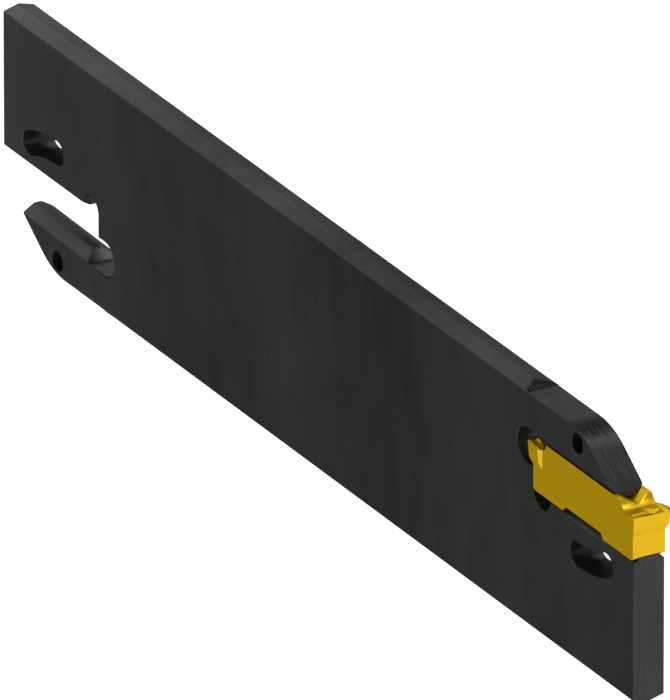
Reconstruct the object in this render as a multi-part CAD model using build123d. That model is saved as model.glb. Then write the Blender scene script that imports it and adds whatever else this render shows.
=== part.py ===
from build123d import *
import math
import os

# Parting blade: a double-ended spring-pocket blade with one double-ended insert clamped in its right end.
# The origin is the centre of the blade. X runs along the blade to the end that holds the insert,
# Y runs through its thickness, away from the side shown in front, and Z is up. All sizes are in millimetres.

# Blade bar
blade_length = 154.0
blade_height = 31.9  # over the two ridges
blade_thickness = 4.35
edge_bevel_angle = 15.0  # each half of a ridge against the square edge

# Cutting edge and insert
cutting_edge_drop = 6.4  # below the upper ridge
edge_width = 5.2
tip_overhang = 0.8  # of the insert past the end of the blade
insert_length = 25.3  # from tip to tip
insert_body_width = 4.5
insert_top = 0.6  # of the body, above the cutting edge
insert_foot = 6.38  # of the body, below the cutting edge
insert_end_inset = 0.75  # from the tip back to the end of the body
foot_corner_radius = 0.6

# Relief of the insert's heads
relief_depth = 2.0  # height of the front relief face under the cutting edge
relief_end_inset = 0.15
shoulder_depth = 1.1  # height of the slope from the front relief face to the body
side_relief_depth = 2.25  # the same three for the sides
side_relief_inset = 0.1
side_shoulder_depth = 0.7
side_clearance_angle = 1.0
head_length = 2.3  # of the full-width head, back from the tip
neck_length = 0.67  # of the slope from the head's side to the body's side

# Chip former, pressed in the top of each head
edge_facet_height = 0.3  # of the steep facet that backs up the cutting edge
edge_facet_inset = 0.08
land_length = 0.6
groove_drop = 0.37  # of the groove's lowest line, below the cutting edge
groove_ramp_angle = 11.0
chip_wall_radius = 1.15  # of the hollow wall that rises to the top of the body
flute_radius = 0.5  # of the flute beside one corner of each head
flute_depth = 0.35
flute_inset = 0.75  # from the side of the head to the flute's middle

# Foot recess of the insert
recess_length = 8.2  # at its roof
recess_depth = 0.73

# Prism seats: a rail on each jaw sits in a groove of the insert
seat_flank_angle = 31.0
finger_gap = 0.35  # between the finger's outer edges and the top of the insert
floor_gap = 0.41  # between the floor's outer edges and the foot of the insert
finger_rail_height = 1.0
floor_rail_height = 0.67
finger_groove_clearance = 0.2  # between the flat of the finger's rail and the groove over the insert
floor_groove_clearance = 0.07  # the same for the rail of the floor
finger_rail_inset = 2.55  # from the stop wall to the foot of the rail's sloping inner end
finger_rail_end_angle = 38.0

# Pocket
rear_relief_radius = 2.35
rear_relief_offset = 1.6  # of its centre, behind the stop wall
lower_relief_radius = 2.0
finger_relief = 0.2  # depth of the relief between the rear relief and the rail
finger_rest_tilt = 0.72  # degrees that the finger closes on an empty pocket

# Finger
nose_setback = 12.14  # of the corner that the nose slope starts from
nose_slope_angle = 35.0
nose_blend_radius = 10.0
finger_tip_setback = 4.6
ridge_relief_setback = 25.2
ridge_relief_radius = 1.0

# Holes for the two pins of the insert key
key_pivot_diameter = 2.7
key_pivot_setback = 13.4
key_pivot_drop = 1.96  # below the flat top of the finger
key_slot_drop = 14.7  # from the pivot to the middle of the slot under it
key_slot_radius = 19.5
key_slot_width = 3.25
key_slot_sweep = 20.9

# Places worked out from the sizes above
ridge_height = blade_thickness / 2 * math.tan(math.radians(edge_bevel_angle))
face_height = blade_height - 2 * ridge_height
face_top = face_height / 2
blade_end = blade_length / 2
edge_z = blade_height / 2 - cutting_edge_drop
insert_half = insert_length / 2
insert_x = blade_end + tip_overhang - insert_half
body_half = insert_half - insert_end_inset
ramp_slope = math.radians(groove_ramp_angle)
ramp_drop = groove_drop - chip_wall_radius * (1 - math.cos(ramp_slope))
land_end = insert_half - edge_facet_inset - land_length
ramp_end = land_end - ramp_drop / math.tan(ramp_slope)
groove_x = ramp_end - chip_wall_radius * math.sin(ramp_slope)
stop_x = insert_x - body_half
clamp_z = edge_z + insert_top + finger_gap
floor_z = edge_z - insert_foot - floor_gap
pocket_middle_z = (clamp_z + floor_z) / 2
rear_relief_x = stop_x - rear_relief_offset
finger_tip_x = blade_end - finger_tip_setback
seat_slope = math.tan(math.radians(seat_flank_angle))
beyond = 2.0  # how far a cutter passes the face that it opens


def mirrored(*right):
    """A closed outline from the lines of its right half, which start and end on the axis of symmetry."""
    return make_face([*right, *(mirror(line, Plane.YZ) for line in right)])


def across(sketch):
    """A cutter through the blade's thickness, from an outline in X and Z."""
    return extrude(Plane.XZ * sketch, blade_thickness / 2 + beyond, both=True)


def along(sketch, start, end):
    """A bar along X between two places, from an outline in Y and Z."""
    return extrude(Plane.YZ.offset(start) * sketch, end - start)


def bar():
    """The whole bar, with a ridge along each long edge."""
    half = blade_thickness / 2
    right = Polyline((0, -blade_height / 2), (half, -face_top), (half, face_top), (0, blade_height / 2))
    return along(mirrored(right), -blade_end, blade_end)


def rail(root_z, height, start, end):
    """A rail with sloping flanks, which rises from the blade's side edges. A negative height hangs down."""
    rise = math.copysign(1.0, height)
    foot = blade_thickness / 2 + beyond
    top = blade_thickness / 2 - abs(height) / seat_slope
    outline = Polyline(
        (-foot, root_z - rise * beyond * seat_slope),
        (-top, root_z + height),
        (top, root_z + height),
        (foot, root_z - rise * beyond * seat_slope),
        close=True,
    )
    return along(make_face(outline), start, end)


def finger_rail():
    """The rail under the clamping finger, with a sloping inner end that rises from the relief behind it."""
    foot_x = stop_x + finger_rail_inset
    foot_z = clamp_z + finger_relief
    top_z = clamp_z - finger_rail_height
    top_x = foot_x + (foot_z - top_z) / math.tan(math.radians(finger_rail_end_angle))
    whole = rail(clamp_z, -finger_rail_height, foot_x, blade_end + beyond)
    end_cut = Polyline((foot_x, foot_z), (top_x, top_z), (foot_x, top_z), close=True)
    return whole - across(make_face(end_cut))


def closing(tilt):
    """The turn of the finger about the root of its clamping face."""
    return Pos(rear_relief_x, 0, clamp_z) * Rot(0, tilt, 0) * Pos(-rear_relief_x, 0, -clamp_z)


def pocket(tilt):
    """The space of a pocket between its two rails, with the finger closed by an angle."""
    mouth = blade_end + beyond
    drop = (mouth - rear_relief_x) * math.tan(math.radians(tilt))
    relief_z = clamp_z + finger_relief
    step_z = relief_z - 2 * rear_relief_radius
    seat = Polyline(
        (stop_x, floor_z),
        (mouth, floor_z),
        (mouth, clamp_z - drop),
        (rear_relief_x, clamp_z),
        (rear_relief_x, step_z),
        (stop_x, step_z),
        close=True,
    )
    relief = Polyline(
        (rear_relief_x, step_z),
        (stop_x + finger_rail_inset + beyond, step_z),
        (stop_x + finger_rail_inset + beyond, relief_z),
        (rear_relief_x, relief_z),
        close=True,
    )
    rear = Pos(rear_relief_x, relief_z - rear_relief_radius) * Circle(rear_relief_radius)
    lower = Pos(stop_x + lower_relief_radius, floor_z + floor_gap) * Circle(lower_relief_radius)
    space = across(make_face(seat) + make_face(relief) + rear)
    floor_rail = rail(floor_z, floor_rail_height, stop_x, mouth)
    return space - floor_rail - closing(tilt) * finger_rail() + across(lower)


def nose():
    """What is ground away above the finger: the ridge, the sloping nose and the space in front of its tip."""
    slope = math.radians(nose_slope_angle)
    blend = nose_blend_radius * math.tan(slope / 2)
    corner_x = blade_end - nose_setback
    relief_x = blade_end - ridge_relief_setback
    over = blade_height / 2 + beyond
    tip_z = face_top - (finger_tip_x - corner_x) * math.tan(slope)
    wheel = JernArc((relief_x, face_top), (-1, 0), ridge_relief_radius, -90)
    flat = Line((relief_x, face_top), (corner_x - blend, face_top))
    bend = JernArc(flat @ 1, (1, 0), nose_blend_radius, -nose_slope_angle)
    rest = Polyline(
        bend @ 1,
        (finger_tip_x, tip_z),
        (finger_tip_x, pocket_middle_z),
        (blade_end + beyond, pocket_middle_z),
        (blade_end + beyond, over),
        (relief_x - ridge_relief_radius, over),
        wheel @ 1,
    )
    return across(make_face([wheel, flat, bend, rest]))


def key_holes():
    """The round hole and the curved slot that the two pins of the insert key go in."""
    pivot_x = blade_end - key_pivot_setback
    pivot_z = face_top - key_pivot_drop
    slot_centre = (pivot_x, pivot_z - key_slot_drop + key_slot_radius)
    middle_line = CenterArc(slot_centre, key_slot_radius, -90, key_slot_sweep)
    pivot = Pos(pivot_x, pivot_z) * Circle(key_pivot_diameter / 2)
    return across(pivot) + across(SlotArc(middle_line, key_slot_width))


def blade_body():
    """The blade, one piece of hardened steel with a spring finger at each end."""
    turned = Rot(0, 180, 0)
    body = bar()
    for place, tilt in ((Rot(0, 0, 0), 0.0), (turned, finger_rest_tilt)):
        body -= place * nose()
        body -= place * pocket(tilt)
        body -= place * key_holes()
    return body


def insert_side():
    """The insert's outline from the side, with both chip formers and the foot recess."""
    wall_turn = math.degrees(math.acos(1 - (insert_top + groove_drop) / chip_wall_radius))
    down_ramp = (-math.cos(ramp_slope), -math.sin(ramp_slope))
    wall = JernArc((ramp_end, -ramp_drop), down_ramp, chip_wall_radius, -(groove_ramp_angle + wall_turn))
    top = Line((0, insert_top), wall @ 1)
    rest = Polyline(
        wall @ 0,
        (land_end, 0),
        (insert_half - edge_facet_inset, 0),
        (insert_half, -edge_facet_height),
        (insert_half - relief_end_inset, -relief_depth),
        (body_half, -relief_depth - shoulder_depth),
        (body_half, -insert_foot),
        (recess_length / 2 + recess_depth, -insert_foot),
        (recess_length / 2, recess_depth - insert_foot),
        (0, recess_depth - insert_foot),
    )
    outline = mirrored(top, wall, rest)
    low = outline.vertices().group_by(Axis.Y)[0]
    return fillet(low.filter_by(lambda v: abs(v.X) > body_half - foot_corner_radius), foot_corner_radius)


def insert_end():
    """The insert's outline from its end, with the groove for the finger above and for the floor below."""
    half = blade_thickness / 2
    head = edge_width / 2
    body = insert_body_width / 2
    upper_floor = insert_top + finger_gap - finger_rail_height - finger_groove_clearance
    upper_half = half - (finger_rail_height + finger_groove_clearance) / seat_slope
    lower_roof = -insert_foot - floor_gap + floor_rail_height + floor_groove_clearance
    lower_half = half - (floor_rail_height + floor_groove_clearance) / seat_slope
    right = Polyline(
        (0, upper_floor),
        (upper_half, upper_floor),
        (half - finger_gap / seat_slope, insert_top),
        (head, insert_top),
        (head, 0),
        (head - side_relief_inset, -side_relief_depth),
        (body, -side_relief_depth - side_shoulder_depth),
        (body, -insert_foot),
        (half - floor_gap / seat_slope, -insert_foot),
        (lower_half, lower_roof),
        (0, lower_roof),
    )
    return mirrored(right)


def insert_plan():
    """The insert's outline from above: two wide heads and a narrower body."""
    head = edge_width / 2
    body = insert_body_width / 2
    head_back = insert_half - head_length
    clearance = head_length * math.tan(math.radians(side_clearance_angle))
    right = Polyline(
        (0, -body),
        (head_back - neck_length, -body),
        (head_back, clearance - head),
        (insert_half, -head),
        (insert_half, head),
        (head_back, head - clearance),
        (head_back - neck_length, body),
        (0, body),
    )
    return mirrored(right)


def corner_flute():
    """The flute beside one corner of the right head, from the chip former's lowest line out past the tip."""
    middle_y = edge_width / 2 - flute_inset
    return along(Pos(middle_y, flute_radius - flute_depth) * Circle(flute_radius), groove_x, insert_length)


def cutting_insert():
    """The insert is the form that its three outlines share, in its place in the right pocket."""
    reach = insert_length + insert_foot
    from_side = extrude(Plane.XZ * insert_side(), reach, both=True)
    from_end = extrude(Plane.YZ * insert_end(), reach, both=True)
    from_above = extrude(Plane.XY * insert_plan(), reach, both=True)
    insert = from_side & from_end & from_above
    for turn in (0, 180):
        insert -= Rot(0, 0, turn) * corner_flute()
    return Pos(insert_x, 0, edge_z) * insert


pieces = {
    "blade_body": blade_body(),
    "cutting_insert": cutting_insert(),
}

os.makedirs("parts", exist_ok=True)
for name, piece in pieces.items():
    piece.label = name
    export_step(piece, f"parts/{name}.step")
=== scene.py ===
import math
from types import SimpleNamespace

import bmesh
import bpy
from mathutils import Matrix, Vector


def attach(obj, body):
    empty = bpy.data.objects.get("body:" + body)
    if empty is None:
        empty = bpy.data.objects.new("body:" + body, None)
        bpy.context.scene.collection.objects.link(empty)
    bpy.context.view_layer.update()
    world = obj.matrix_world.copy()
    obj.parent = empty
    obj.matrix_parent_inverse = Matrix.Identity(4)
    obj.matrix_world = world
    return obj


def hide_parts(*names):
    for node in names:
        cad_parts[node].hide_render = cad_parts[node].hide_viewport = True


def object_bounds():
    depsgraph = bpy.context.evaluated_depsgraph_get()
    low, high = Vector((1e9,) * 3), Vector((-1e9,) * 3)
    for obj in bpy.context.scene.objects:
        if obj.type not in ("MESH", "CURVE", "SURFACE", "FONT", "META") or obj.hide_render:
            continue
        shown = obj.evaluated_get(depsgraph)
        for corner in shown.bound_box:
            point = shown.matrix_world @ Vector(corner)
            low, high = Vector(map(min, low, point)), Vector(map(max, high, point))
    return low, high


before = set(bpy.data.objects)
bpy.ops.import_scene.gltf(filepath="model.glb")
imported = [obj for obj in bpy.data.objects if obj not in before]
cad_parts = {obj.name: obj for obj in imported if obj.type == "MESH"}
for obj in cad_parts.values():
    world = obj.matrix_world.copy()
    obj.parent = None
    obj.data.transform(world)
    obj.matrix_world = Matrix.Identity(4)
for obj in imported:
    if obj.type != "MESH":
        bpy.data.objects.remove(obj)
cad_low, cad_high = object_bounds()

MM = 0.001
MM2 = MM * MM

# Half sizes of the blade, which has its middle at the origin, and the cutting end of the insert
HALF_LENGTH = -cad_low.x
HALF_HEIGHT = cad_high.z
CUTTING_END = cad_high.x

# The photograph's view, from as far away as the other views can still frame the whole blade
VIEW_AZIMUTH = 60.055
VIEW_ELEVATION = 24.967
VIEW_DISTANCE = 3.9
VIEW_TARGET = Vector((0.48, 0.57, -0.29)) * MM
LONGER_SIDE_PIXELS = 700
PIXELS_PER_MM = 8.1933
CLIP_START = 0.1
CLIP_END = 20.0

# Floor and lamps, in metres and watts
FLOOR_DROP = 0.045
FLOOR_SIZE = 6.0
FLOOR_PAINT = (0.8, 0.8, 0.8, 1.0)
FLOOR_ROUGHNESS = 0.9
FLOOR_GLOW = 0.5
LAMP_DISTANCE = 0.6
LAMP_SIZE = 0.4
KEY_POWER = 1.2
TOP_LEFT_POWER = 2.0

# Edges broken on the real pieces. A bevel takes at most a share of the length of its nearest side edge
STEEL_EDGE = 0.06 * MM
INSERT_EDGE = 0.05 * MM
INSERT_ROUNDING = 0.16 * MM
SMALLEST_BEND = math.radians(9.7)
NEAREST_SIDE_SHARE = 0.35
ALIKE_DIRECTIONS = 0.85
BEVEL_STEPS = 2
MERGE_DISTANCE = 0.003 * MM
FLAT_BEND = math.radians(0.5)
FLAT_FACE_WEIGHT = 90

# The two metals
STEEL_METALLIC = 0.75
STEEL_ROUGHNESS = 0.28
STEEL_GRAZING = (0.36, 0.36, 0.36, 1.0)
COATING_METALLIC = 0.9
COATING_ROUGHNESS = 0.18
REAR_HEAD_ROUGHNESS = 0.42
CHIP_FORMER_ROUGHNESS = 0.32
COATING_GRAZING = (1.0, 0.95, 0.42, 1.0)

# Pairs of colours that each metal drifts between, and the plain colour of the blade's end faces
SIDE_GREYS = ((0.084, 0.082, 0.077, 1.0), (0.079, 0.082, 0.083, 1.0))
RIDGE_GREYS = ((0.072, 0.078, 0.070, 1.0), (0.075, 0.074, 0.080, 1.0))
END_GREY = (0.061, 0.065, 0.068, 1.0)
GOLDS = ((0.92, 0.56, 0.018, 1.0), (0.96, 0.59, 0.022, 1.0))

# Painted light along the blade: how light the ground steel is painted at each place, lighter towards the
# left end where the lamp light falls stronger, as far as the photo shows it
STEEL_TONES_AND_PAINTED_LIGHT = (
    (-75 * MM, 1.38),
    (-62 * MM, 1.22),
    (-46 * MM, 1.15),
    (-36 * MM, 1.00),
    (-24 * MM, 0.95),
    (-7 * MM, 1.10),
    (5 * MM, 0.92),
    (20 * MM, 0.88),
    (40 * MM, 1.03),
    (75 * MM, 1.03),
)
# The same at the two noses, by distance from the blade's middle: a darker band where the nose bends, and a
# painted highlight beyond it
NOSE_TONES_AND_HIGHLIGHT = (
    (HALF_LENGTH - 16.0 * MM, 1.00),
    (HALF_LENGTH - 14.5 * MM, 0.42),
    (HALF_LENGTH - 13.5 * MM, 0.30),
    (HALF_LENGTH - 12.7 * MM, 0.40),
    (HALF_LENGTH - 11.0 * MM, 0.80),
    (HALF_LENGTH - 9.8 * MM, 0.48),
    (HALF_LENGTH - 7.0 * MM, 0.50),
    (HALF_LENGTH - 4.5 * MM, 0.40),
)

# How much darker or lighter the marks and walls of the steel are than what lies around them. On the walls
# this is painted shade, painted light and a painted reflection
BRUSH_MARKS = 0.25
FLAT_TONE = 0.16
DARK_PATCH_TONE = -0.7
# Painted shade in the slots and on the rail crests, painted light on the relief, and a painted reflection on
# the rail's end, dark in front and lighter behind
SLOT_SHADE = -0.35
RELIEF_LIGHT = 0.3
CREST_SHADE = -0.4
RAIL_END_REFLECTION = (-0.6, 0.35)
DARK_LINE_TONE = -0.10

# Painted light on the ridges, as factors on their colour: on their back slopes, and towards their left and
# right ends, lighter to the left where the lamp light falls stronger
BACK_SLOPE_PAINTED_LIGHT = 1.5
RIDGE_LEFT_PAINTED_LIGHT = 1.28
RIDGE_RIGHT_PAINTED_LIGHT = 1.12

# Places on the steel, measured from the blade's middle
RIDGE_FOOT = HALF_HEIGHT - 1.05 * MM
FLAT_FOOT = HALF_HEIGHT - 1.95 * MM
END_FACE = HALF_LENGTH - 0.2 * MM
BEFORE_END_FACE = HALF_LENGTH - 0.5 * MM
DARK_PATCH_END = HALF_LENGTH - 25.1 * MM
DARK_PATCH_START = DARK_PATCH_END - 2.5 * MM
# How far the nose's tones and painted highlight shift along the blade with the brushed marks
NOSE_TONE_JITTER = 0.3 * MM
RAGGEDNESS = 0.4 * MM
DARK_LINES = (-39.6 * MM, 72.6 * MM)
DARK_LINE_WIDTH = 0.25 * MM
SLOT_HEIGHT = 6.5 * MM
RELIEF_HEIGHT = 13.0 * MM
RELIEF_REACH = 55.0 * MM
CREST_HEIGHTS = (8.3 * MM, 9.7 * MM)
CREST_REACH = 54.4 * MM
RAIL_END_HEIGHTS = (8.0 * MM, 11.4 * MM)
RAIL_END_REACH = 58.0 * MM
RAIL_END_DEPTHS = (-1.5 * MM, 0.8 * MM)
RIDGE_LIGHT_FALLOFF = (-60 * MM, -20 * MM)

# Products of length and height that tell the quarters with the fingers and noses from the rest
NOSE_QUARTER = 560 * MM2
DARK_PATCH_QUARTER = 600 * MM2
RELIEF_QUARTER = 430 * MM2

# Leans of a surface, as parts of its normal: across, up, and along times up
INWARD_LEAN = 0.5
NOT_SIDE_LEAN = 0.8
LEVEL_LEAN = 0.975
NOSE_LEAN = 0.02
RAIL_END_LEAN = 0.2

# Leans that tell the V groove's flanks and the chip former's wall from the insert's other faces
FLANK_LEAN = 0.4
FLANK_RISE = 0.2
WALL_LEAN = 0.3
WALL_RISE = 0.1
SMALL_LEAN = 0.1

# Where the insert's rear head ends and its chip former begins, counted back from its cutting end
REAR_HEAD_BACK = 22.3 * MM
CHIP_FORMER_BACK = 5.3 * MM

# Brightness of the room that mirrors see, by the height of the direction (-1 straight down, 1 straight up)
ROOM_LEFT = (
    (-1.0, 0.80),
    (-0.42, 0.95),
    (-0.15, 0.30),
    (0.10, 0.25),
    (0.42, 0.50),
    (0.60, 0.74),
    (0.80, 0.74),
    (0.88, 1.00),
    (0.97, 2.00),
    (1.0, 2.00),
)
ROOM_RIGHT = (
    (-1.0, 0.80),
    (-0.42, 0.90),
    (-0.15, 0.35),
    (0.02, 0.30),
    (0.47, 0.33),
    (0.79, 0.50),
    (0.88, 0.90),
    (0.97, 2.00),
    (1.0, 2.00),
)
ROOM_MIDDLE_WIDTH = 0.4
DARK_SIDE = Vector((-0.807, -0.252, -0.534))
DARK_SIDE_EDGE = (0.75, 0.93)
DARK_SIDE_SHARE = 0.38
FILL = 0.45
TWICE_MIRRORED = 0.45
TWICE_MIRRORED_TINT = (0.62, 1.0, 1.0, 1.0)
WHITE = (1.0, 1.0, 1.0, 1.0)

# A colour ramp holds numbers up to 1, so a table's numbers go in divided by this and are multiplied again
TABLE_TOP = 2.0


class Wiring:
    """The nodes and links of one material or world, and the steps that its looks are made of."""

    def __init__(self, tree):
        self.nodes = tree.nodes
        self.links = tree.links

    def feed(self, socket, value):
        """Puts a number, a colour or another node's output in a socket."""
        if isinstance(value, bpy.types.NodeSocket):
            self.links.new(value, socket)
        else:
            socket.default_value = value

    def maths(self, operation, *values):
        """One step of arithmetic."""
        node = self.nodes.new("ShaderNodeMath")
        node.operation = operation
        for socket, value in zip(node.inputs, values):
            self.feed(socket, value)
        return node.outputs[0]

    def total(self, result, *others):
        """Values added together."""
        for other in others:
            result = self.maths("ADD", result, other)
        return result

    def product(self, result, *others):
        """Values multiplied together."""
        for other in others:
            result = self.maths("MULTIPLY", result, other)
        return result

    def unsigned(self, value):
        """A value without its sign."""
        return self.maths("ABSOLUTE", value)

    def toned(self, tone, share, mask):
        """A tone raised by a share of itself where a mask is 1, or lowered where the share is below 0."""
        return self.product(tone, self.maths("MULTIPLY_ADD", mask, share, 1.0))

    def remap(self, value, low, high, to_low=0.0, to_high=1.0):
        """A value taken smoothly from one range to another, held at both ends."""
        node = self.nodes.new("ShaderNodeMapRange")
        node.interpolation_type = "SMOOTHSTEP"
        for name, number in (("From Min", low), ("From Max", high), ("To Min", to_low), ("To Max", to_high)):
            node.inputs[name].default_value = number
        self.links.new(value, node.inputs["Value"])
        return node.outputs["Result"]

    def above(self, value, edge, soft):
        """A mask that rises from 0 at an edge to 1 a soft width above it."""
        return self.remap(value, edge, edge + soft)

    def below(self, value, edge, soft):
        """A mask that is 0 from an edge up and rises to 1 a soft width below it."""
        return self.remap(value, edge, edge - soft)

    def within(self, value, edges, soft):
        """A mask that is 1 between two edges and falls softly to 0 at both."""
        return self.product(self.above(value, edges[0], soft), self.below(value, edges[1], soft))

    def table(self, value, stops):
        """A number read from a short table, with straight lines between its stops."""
        first, last = stops[0][0], stops[-1][0]
        spread = self.nodes.new("ShaderNodeMapRange")
        spread.inputs["From Min"].default_value = first
        spread.inputs["From Max"].default_value = last
        self.links.new(value, spread.inputs["Value"])
        ramp = self.nodes.new("ShaderNodeValToRGB")
        self.links.new(spread.outputs["Result"], ramp.inputs[0])
        elements = ramp.color_ramp.elements
        while len(elements) < len(stops):
            elements.new(0.5)
        for element, (at, number) in zip(elements, stops):
            element.position = (at - first) / (last - first)
            element.color = (number / TABLE_TOP,) * 3 + (1.0,)
        return self.product(ramp.outputs["Color"], TABLE_TOP)

    def noise(self, grain, seed, detail=2.0):
        """Noise whose grain has a size in millimetres along each axis of the object."""
        place = self.nodes.new("ShaderNodeTexCoord")
        mapping = self.nodes.new("ShaderNodeMapping")
        mapping.inputs["Scale"].default_value = [1.0 / (MM * size) for size in grain]
        mapping.inputs["Location"].default_value = (seed, seed, seed)
        self.links.new(place.outputs["Object"], mapping.inputs["Vector"])
        node = self.nodes.new("ShaderNodeTexNoise")
        node.inputs["Scale"].default_value = 1.0
        node.inputs["Detail"].default_value = detail
        self.links.new(mapping.outputs["Vector"], node.inputs["Vector"])
        return node.outputs["Fac"]

    def swing(self, amount, grain, seed, detail=2.0, edge=0.3):
        """Noise that swings evenly to both sides of 0, as far as the amount."""
        return self.remap(self.noise(grain, seed, detail), edge, 1.0 - edge, -amount, amount)

    def mixed(self, kind, factor, first, second):
        """Between two colours (RGBA) or two numbers (FLOAT), by a factor from 0 to 1."""
        node = self.nodes.new("ShaderNodeMix")
        node.data_type = kind
        for name, value in (("Factor", factor), ("A", first), ("B", second)):
            self.feed(node.inputs[name], value)
        return node.outputs["Result"]

    def scaled(self, colour, factor):
        """A colour made lighter or darker by a factor."""
        node = self.nodes.new("ShaderNodeVectorMath")
        node.operation = "SCALE"
        self.links.new(colour, node.inputs[0])
        self.links.new(factor, node.inputs["Scale"])
        return node.outputs[0]

    def split(self, vector):
        """The three numbers of a vector."""
        node = self.nodes.new("ShaderNodeSeparateXYZ")
        self.links.new(vector, node.inputs[0])
        return node.outputs["X"], node.outputs["Y"], node.outputs["Z"]

    def surface(self):
        """Where a point of the surface is, and which way it faces."""
        place = self.nodes.new("ShaderNodeTexCoord")
        x, y, z = self.split(place.outputs["Object"])
        at = SimpleNamespace(x=x, y=y, z=z)
        at.facing_x, at.facing_y, at.facing_z = self.split(place.outputs["Normal"])
        at.aside = self.unsigned(at.facing_y)
        return at


def painted(name):
    """A new node material, its wiring and the sockets of its shader."""
    material = bpy.data.materials.new(name)
    material.use_nodes = True
    w = Wiring(material.node_tree)
    return material, w, w.nodes["Principled BSDF"].inputs


def metal(name, metallic, grazing):
    """A metal without the clear gloss that a plastic has, and with its own tint at grazing angles."""
    material, w, shader = painted(name)
    shader["Metallic"].default_value = metallic
    shader["Specular IOR Level"].default_value = 0.0
    shader["Specular Tint"].default_value = grazing
    return material, w, shader


def steel_surface(w):
    """The surface of the steel, with measures from the blade's middle that are the same at both ends."""
    at = w.surface()
    at.reach = w.unsigned(at.x)
    at.height = w.unsigned(at.z)
    # Above 0 in the two quarters of the blade that hold the fingers and noses
    at.quarter = w.product(at.x, at.z)
    at.sloped = w.product(at.facing_x, at.facing_z)
    # All but the two sides, such as the walls of holes, slots and pockets
    at.inward = w.below(at.aside, INWARD_LEAN, 0.2)
    at.nose = w.above(at.quarter, NOSE_QUARTER, 40 * MM2)
    return at


def ground_tone_and_painted_light(w, at):
    """Tone of the ground steel along the blade, with painted light that is lighter towards the left end, and
    with clouds, smears, upright streaks and a few specks.
    """
    specks = w.noise((0.35, 0.35, 0.35), seed=11, detail=1.0)
    return w.total(
        w.table(at.x, STEEL_TONES_AND_PAINTED_LIGHT),
        w.swing(0.07, (15, 15, 40), seed=3),
        w.swing(0.06, (3, 3, 8), seed=8, detail=3.0),
        w.swing(0.05, (0.3, 0.5, 16), seed=5, detail=3.0),
        w.remap(specks, 0.80, 0.86, 0.0, 0.6),
    )


def with_noses(w, at, tone):
    """The nose's slope with its brushed marks, and the flat before it where the ridge is ground away, both
    darkened along the nose and crossed by a painted highlight.
    """
    brushed = w.swing(BRUSH_MARKS, (3, 0.28, 3), seed=21, detail=3.0, edge=0.32)
    slope = w.product(at.nose, w.above(at.sloped, NOSE_LEAN, 0.18))
    level = w.above(w.unsigned(at.facing_z), LEVEL_LEAN, 0.015)
    flat = w.product(level, w.above(at.height, FLAT_FOOT, 0.5 * MM))
    tone = w.total(tone, w.product(brushed, slope))
    tone = w.toned(tone, FLAT_TONE, flat)
    # The nose's tones, with their painted highlight, shift a little along the blade with the brushed marks
    jittered_reach = w.total(at.reach, w.remap(brushed, -BRUSH_MARKS, BRUSH_MARKS, -NOSE_TONE_JITTER, NOSE_TONE_JITTER))
    nose_tone_and_highlight = w.maths("SUBTRACT", w.table(jittered_reach, NOSE_TONES_AND_HIGHLIGHT), 1.0)
    return w.toned(tone, nose_tone_and_highlight, w.maths("MAXIMUM", flat, slope))


def dark_run_out_patch(w, at):
    """A ragged, much darker patch where the grinding of the ridge runs out. It reaches furthest back at the
    crest.
    """
    ragged = w.swing(RAGGEDNESS, (2.0, 0.22, 2.0), seed=4)
    start = w.maths("MULTIPLY_ADD", w.unsigned(at.y), -0.75, w.total(at.reach, ragged))
    return w.product(
        w.above(start, DARK_PATCH_START, 0.6 * MM),
        w.below(at.reach, DARK_PATCH_END, 0.3 * MM),
        w.above(at.quarter, DARK_PATCH_QUARTER, 50 * MM2),
        w.below(at.aside, NOT_SIDE_LEAN, 0.2),
    )


def with_wall_shade_and_light(w, at, tone):
    """Painted shade on the walls of the slots and on the rail crests, painted light on the relief at the
    pocket's inner end, and a painted reflection on the rail's sloping end, dark in front and lighter behind.
    """
    slots = w.product(
        at.inward,
        w.below(at.height, SLOT_HEIGHT, 0.5 * MM),
        w.below(at.reach, BEFORE_END_FACE, 0.5 * MM),
    )
    relief = w.product(
        at.inward,
        w.above(at.quarter, RELIEF_QUARTER, 15 * MM2),
        w.below(at.height, RELIEF_HEIGHT, 0.4 * MM),
        w.below(at.reach, RELIEF_REACH, 0.4 * MM),
    )
    crest = w.product(
        at.inward,
        w.maths("SUBTRACT", 1.0, at.nose),
        w.within(at.height, CREST_HEIGHTS, 0.2 * MM),
        w.above(at.reach, CREST_REACH, 0.4 * MM),
        w.above(at.quarter, 0.0, 100 * MM2),
    )
    rail_end_reflection = w.product(
        at.inward,
        w.above(at.sloped, RAIL_END_LEAN, 0.15),
        w.within(at.height, RAIL_END_HEIGHTS, 0.4 * MM),
        w.below(at.reach, RAIL_END_REACH, 0.4 * MM),
    )
    # Painted shade in the slots and on the rail crests, painted light on the relief, and a painted
    # reflection on the rail's sloping end
    tone = w.toned(tone, SLOT_SHADE, slots)
    tone = w.toned(tone, CREST_SHADE, crest)
    tone = w.toned(tone, RELIEF_LIGHT, relief)
    return w.toned(tone, w.remap(at.y, *RAIL_END_DEPTHS, *RAIL_END_REFLECTION), rail_end_reflection)


def with_dark_lines(w, at, tone):
    """Two thin upright lines, a little darker than around them."""
    for line in DARK_LINES:
        away = w.unsigned(w.maths("SUBTRACT", at.x, line))
        tone = w.total(tone, w.remap(away, 0.0, DARK_LINE_WIDTH, DARK_LINE_TONE, 0.0))
    return tone


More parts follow.
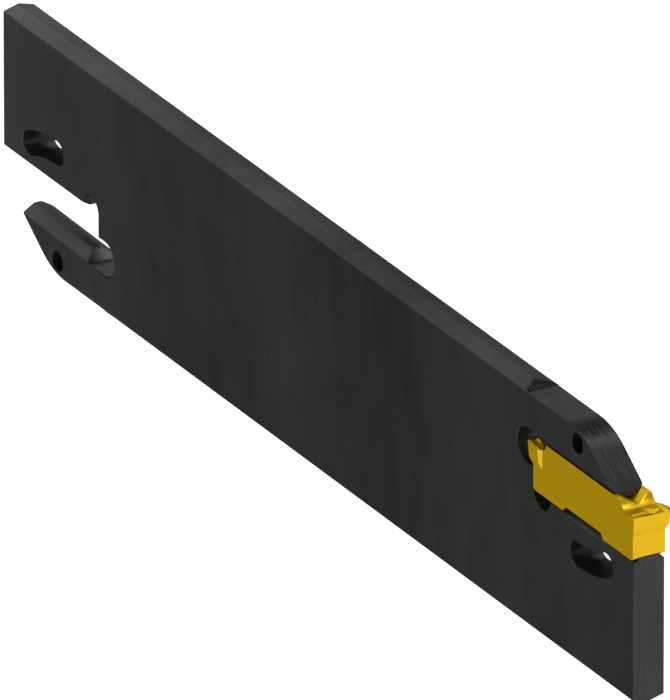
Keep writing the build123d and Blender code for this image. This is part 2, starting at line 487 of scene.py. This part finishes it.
def steel_hue(w, at):
    """A cloudy neutral grey on the sides, a patchy cooler one on the ridges with painted light on their back
    slopes and towards the left end, and plain end faces.
    """
    side = w.mixed("RGBA", w.noise((21, 21, 70), seed=14), *SIDE_GREYS)
    patches = w.remap(w.noise((5, 1.2, 5), seed=17), 0.4, 0.6)
    ridge = w.mixed("RGBA", patches, *RIDGE_GREYS)
    # Painted light: the ridges' back slopes lighter, and the ridges lighter towards the left end than the
    # right
    away = w.product(at.facing_y, at.facing_z)
    ridge = w.scaled(ridge, w.remap(away, 0.05, 0.2, 1.0, BACK_SLOPE_PAINTED_LIGHT))
    ridge = w.scaled(ridge, w.remap(at.x, *RIDGE_LIGHT_FALLOFF, RIDGE_LEFT_PAINTED_LIGHT, RIDGE_RIGHT_PAINTED_LIGHT))
    hue = w.mixed("RGBA", w.above(at.height, RIDGE_FOOT, 0.2 * MM), side, ridge)
    return w.mixed("RGBA", w.above(at.reach, END_FACE, 0.15 * MM), hue, END_GREY)


def steel_look():
    """Hardened and ground steel, with painted light, shade and reflections in its colour."""
    material, w, shader = metal("blade_steel_look", STEEL_METALLIC, STEEL_GRAZING)
    shader["Roughness"].default_value = STEEL_ROUGHNESS
    at = steel_surface(w)
    tone = with_noses(w, at, ground_tone_and_painted_light(w, at))
    tone = w.toned(tone, DARK_PATCH_TONE, dark_run_out_patch(w, at))
    tone = with_wall_shade_and_light(w, at, tone)
    tone = with_dark_lines(w, at, tone)
    w.links.new(w.scaled(steel_hue(w, at), tone), shader["Base Color"])
    return material


def coating_roughness(w, at):
    """Shiny sides, a duller top on the head that cuts, and a still duller head in the pocket."""
    rear_head = CUTTING_END - REAR_HEAD_BACK
    rear = w.remap(at.x, rear_head, rear_head + 1.5 * MM, REAR_HEAD_ROUGHNESS, COATING_ROUGHNESS)
    side = w.remap(at.aside, 0.5, 0.8, 0.0, REAR_HEAD_ROUGHNESS - COATING_ROUGHNESS)
    dull = w.maths("MAXIMUM", w.maths("SUBTRACT", rear, side), COATING_ROUGHNESS)
    top = w.remap(at.facing_z, 0.2, 0.4, 0.0, CHIP_FORMER_ROUGHNESS - COATING_ROUGHNESS)
    return w.total(dull, w.product(top, w.above(at.x, CUTTING_END - CHIP_FORMER_BACK, 1.0 * MM)))


def coating_look():
    """Gold coloured hard coating."""
    material, w, shader = metal("insert_look", COATING_METALLIC, COATING_GRAZING)
    at = w.surface()
    gold = w.mixed("RGBA", w.noise((2.5, 2.5, 2.5), seed=2), *GOLDS)
    w.links.new(gold, shader["Base Color"])
    w.links.new(coating_roughness(w, at), shader["Roughness"])
    return material


def is_rounded(edge):
    """Whether an edge joins the flank of the V groove and the wall behind the chip former."""
    normals = [face.normal for face in edge.link_faces]
    flank = any(abs(n.y) > FLANK_LEAN and n.z > FLANK_RISE and abs(n.x) < SMALL_LEAN for n in normals)
    wall = any(abs(n.x) > WALL_LEAN and n.z > WALL_RISE and abs(n.y) < SMALL_LEAN for n in normals)
    return flank and wall


def direction(edge):
    """Direction of an edge, either way."""
    start, end = edge.verts
    return (end.co - start.co).normalized()


def nearest_side(edge):
    """Length of the shortest edge that leaves this one sideways, which a wider bevel would run over."""
    along = direction(edge)
    sides = [1.0]
    for vertex in edge.verts:
        for other in vertex.link_edges:
            if other != edge and abs(direction(other).dot(along)) < ALIKE_DIRECTIONS:
                sides.append(other.calc_length())
    return min(sides)


def refined(node, width, rounding, name, look):
    """A copy of a CAD node whose sharp edges are broken, and a few rounded, which stands for the node."""
    mesh = bpy.data.meshes.new(name)
    form = bmesh.new()
    form.from_mesh(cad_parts[node].data)
    bmesh.ops.remove_doubles(form, verts=form.verts, dist=MERGE_DISTANCE)
    bmesh.ops.dissolve_limit(
        form, angle_limit=FLAT_BEND, verts=form.verts, edges=form.edges, delimit={"NORMAL"}
    )
    form.to_mesh(mesh)
    weights = mesh.attributes.new("bevel_weight_edge", "FLOAT", "EDGE")
    form.edges.index_update()
    for edge in form.edges:
        if len(edge.link_faces) == 2 and edge.calc_face_angle() > SMALLEST_BEND:
            wanted = rounding if is_rounded(edge) else width
            weights.data[edge.index].value = min(wanted, NEAREST_SIDE_SHARE * nearest_side(edge)) / rounding
    form.free()
    piece = bpy.data.objects.new(name, mesh)
    bpy.context.scene.collection.objects.link(piece)
    mesh.shade_smooth()
    mesh.materials.append(look)
    bevel = piece.modifiers.new("broken_edges", "BEVEL")
    bevel.width = rounding
    bevel.segments = BEVEL_STEPS
    bevel.limit_method = "WEIGHT"
    bevel.use_clamp_overlap = False
    even = piece.modifiers.new("flat_faces_stay_flat", "WEIGHTED_NORMAL")
    even.mode = "FACE_AREA"
    even.weight = FLAT_FACE_WEIGHT
    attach(piece, "root")
    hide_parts(node)


def room(w):
    """The brightness of the room around the blade, as its mirror-like faces see it."""
    place = w.nodes.new("ShaderNodeTexCoord")
    direction_seen = place.outputs["Generated"]
    x, _, z = w.split(direction_seen)
    rightward = w.remap(x, -ROOM_MIDDLE_WIDTH, ROOM_MIDDLE_WIDTH)
    sides = w.mixed("FLOAT", rightward, w.table(z, ROOM_LEFT), w.table(z, ROOM_RIGHT))
    facing = w.nodes.new("ShaderNodeVectorMath")
    facing.operation = "DOT_PRODUCT"
    facing.inputs[1].default_value = DARK_SIDE
    w.links.new(direction_seen, facing.inputs[0])
    return w.product(sides, w.remap(facing.outputs["Value"], *DARK_SIDE_EDGE, 1.0, DARK_SIDE_SHARE))


def world_light():
    """White for the camera, the room for mirrors, and a soft fill for everything else."""
    world = bpy.data.worlds.new("room")
    bpy.context.scene.world = world
    world.use_nodes = True
    w = Wiring(world.node_tree)
    ray = w.nodes.new("ShaderNodeLightPath")
    # A second reflection sees a dimmer, cooler room, so that gold mirrored in gold stays gold
    again = w.maths("GREATER_THAN", ray.outputs["Glossy Depth"], 1.5)
    strength = w.mixed("FLOAT", ray.outputs["Is Glossy Ray"], FILL, room(w))
    strength = w.mixed("FLOAT", again, strength, TWICE_MIRRORED)
    strength = w.mixed("FLOAT", ray.outputs["Is Camera Ray"], strength, 1.0)
    sky = w.nodes["Background"].inputs
    w.links.new(w.mixed("RGBA", again, WHITE, TWICE_MIRRORED_TINT), sky["Color"])
    w.links.new(strength, sky["Strength"])


def floor():
    """A pale floor under the blade. The camera sees it white, apart from the shadow."""
    bpy.ops.mesh.primitive_plane_add(size=FLOOR_SIZE, location=(0, 0, cad_low.z - FLOOR_DROP))
    plane = bpy.context.object
    plane.name = "floor"
    plane.visible_glossy = False
    material, w, shader = painted("floor_paint")
    shader["Base Color"].default_value = FLOOR_PAINT
    shader["Roughness"].default_value = FLOOR_ROUGHNESS
    shader["Specular IOR Level"].default_value = 0.0
    shader["Emission Color"].default_value = WHITE
    ray = w.nodes.new("ShaderNodeLightPath")
    w.links.new(w.product(ray.outputs["Is Camera Ray"], FLOOR_GLOW), shader["Emission Strength"])
    plane.data.materials.append(material)


def stand_off(piece, azimuth, elevation, distance, target):
    """Puts a lamp or camera at a distance from a target, looking at it."""
    a, e = math.radians(azimuth), math.radians(elevation)
    back = Vector((math.sin(a) * math.cos(e), -math.cos(a) * math.cos(e), math.sin(e)))
    piece.location = target + back * distance
    piece.rotation_euler = (-back).to_track_quat("-Z", "Y").to_euler()


def lamp(name, azimuth, elevation, power):
    """A square soft lamp aimed at the middle of the blade."""
    data = bpy.data.lights.new(name, "AREA")
    data.shape = "SQUARE"
    data.size = LAMP_SIZE
    data.energy = power
    piece = bpy.data.objects.new(name, data)
    bpy.context.scene.collection.objects.link(piece)
    stand_off(piece, azimuth, elevation, LAMP_DISTANCE, Vector((0, 0, 0)))
    piece.visible_camera = False
    piece.visible_glossy = False


def camera():
    """The photograph's camera, with so long a lens that the view is nearly parallel."""
    data = bpy.data.cameras.new("camera")
    piece = bpy.data.objects.new("camera", data)
    bpy.context.scene.collection.objects.link(piece)
    bpy.context.scene.camera = piece
    seen_height = LONGER_SIDE_PIXELS / PIXELS_PER_MM * MM
    data.lens = data.sensor_width * VIEW_DISTANCE / seen_height
    data.clip_start = CLIP_START
    data.clip_end = CLIP_END
    stand_off(piece, VIEW_AZIMUTH, VIEW_ELEVATION, VIEW_DISTANCE, VIEW_TARGET)


refined("blade_body", STEEL_EDGE, STEEL_EDGE, "blade", steel_look())
refined("cutting_insert", INSERT_EDGE, INSERT_ROUNDING, "insert", coating_look())
world_light()
floor()
lamp("key", azimuth=100.0, elevation=8.0, power=KEY_POWER)
lamp("top_left", azimuth=257.0, elevation=36.0, power=TOP_LEFT_POWER)
camera()
bpy.context.scene.view_settings.view_transform = "Standard"
bpy.context.scene.cycles.glossy_bounces = 1
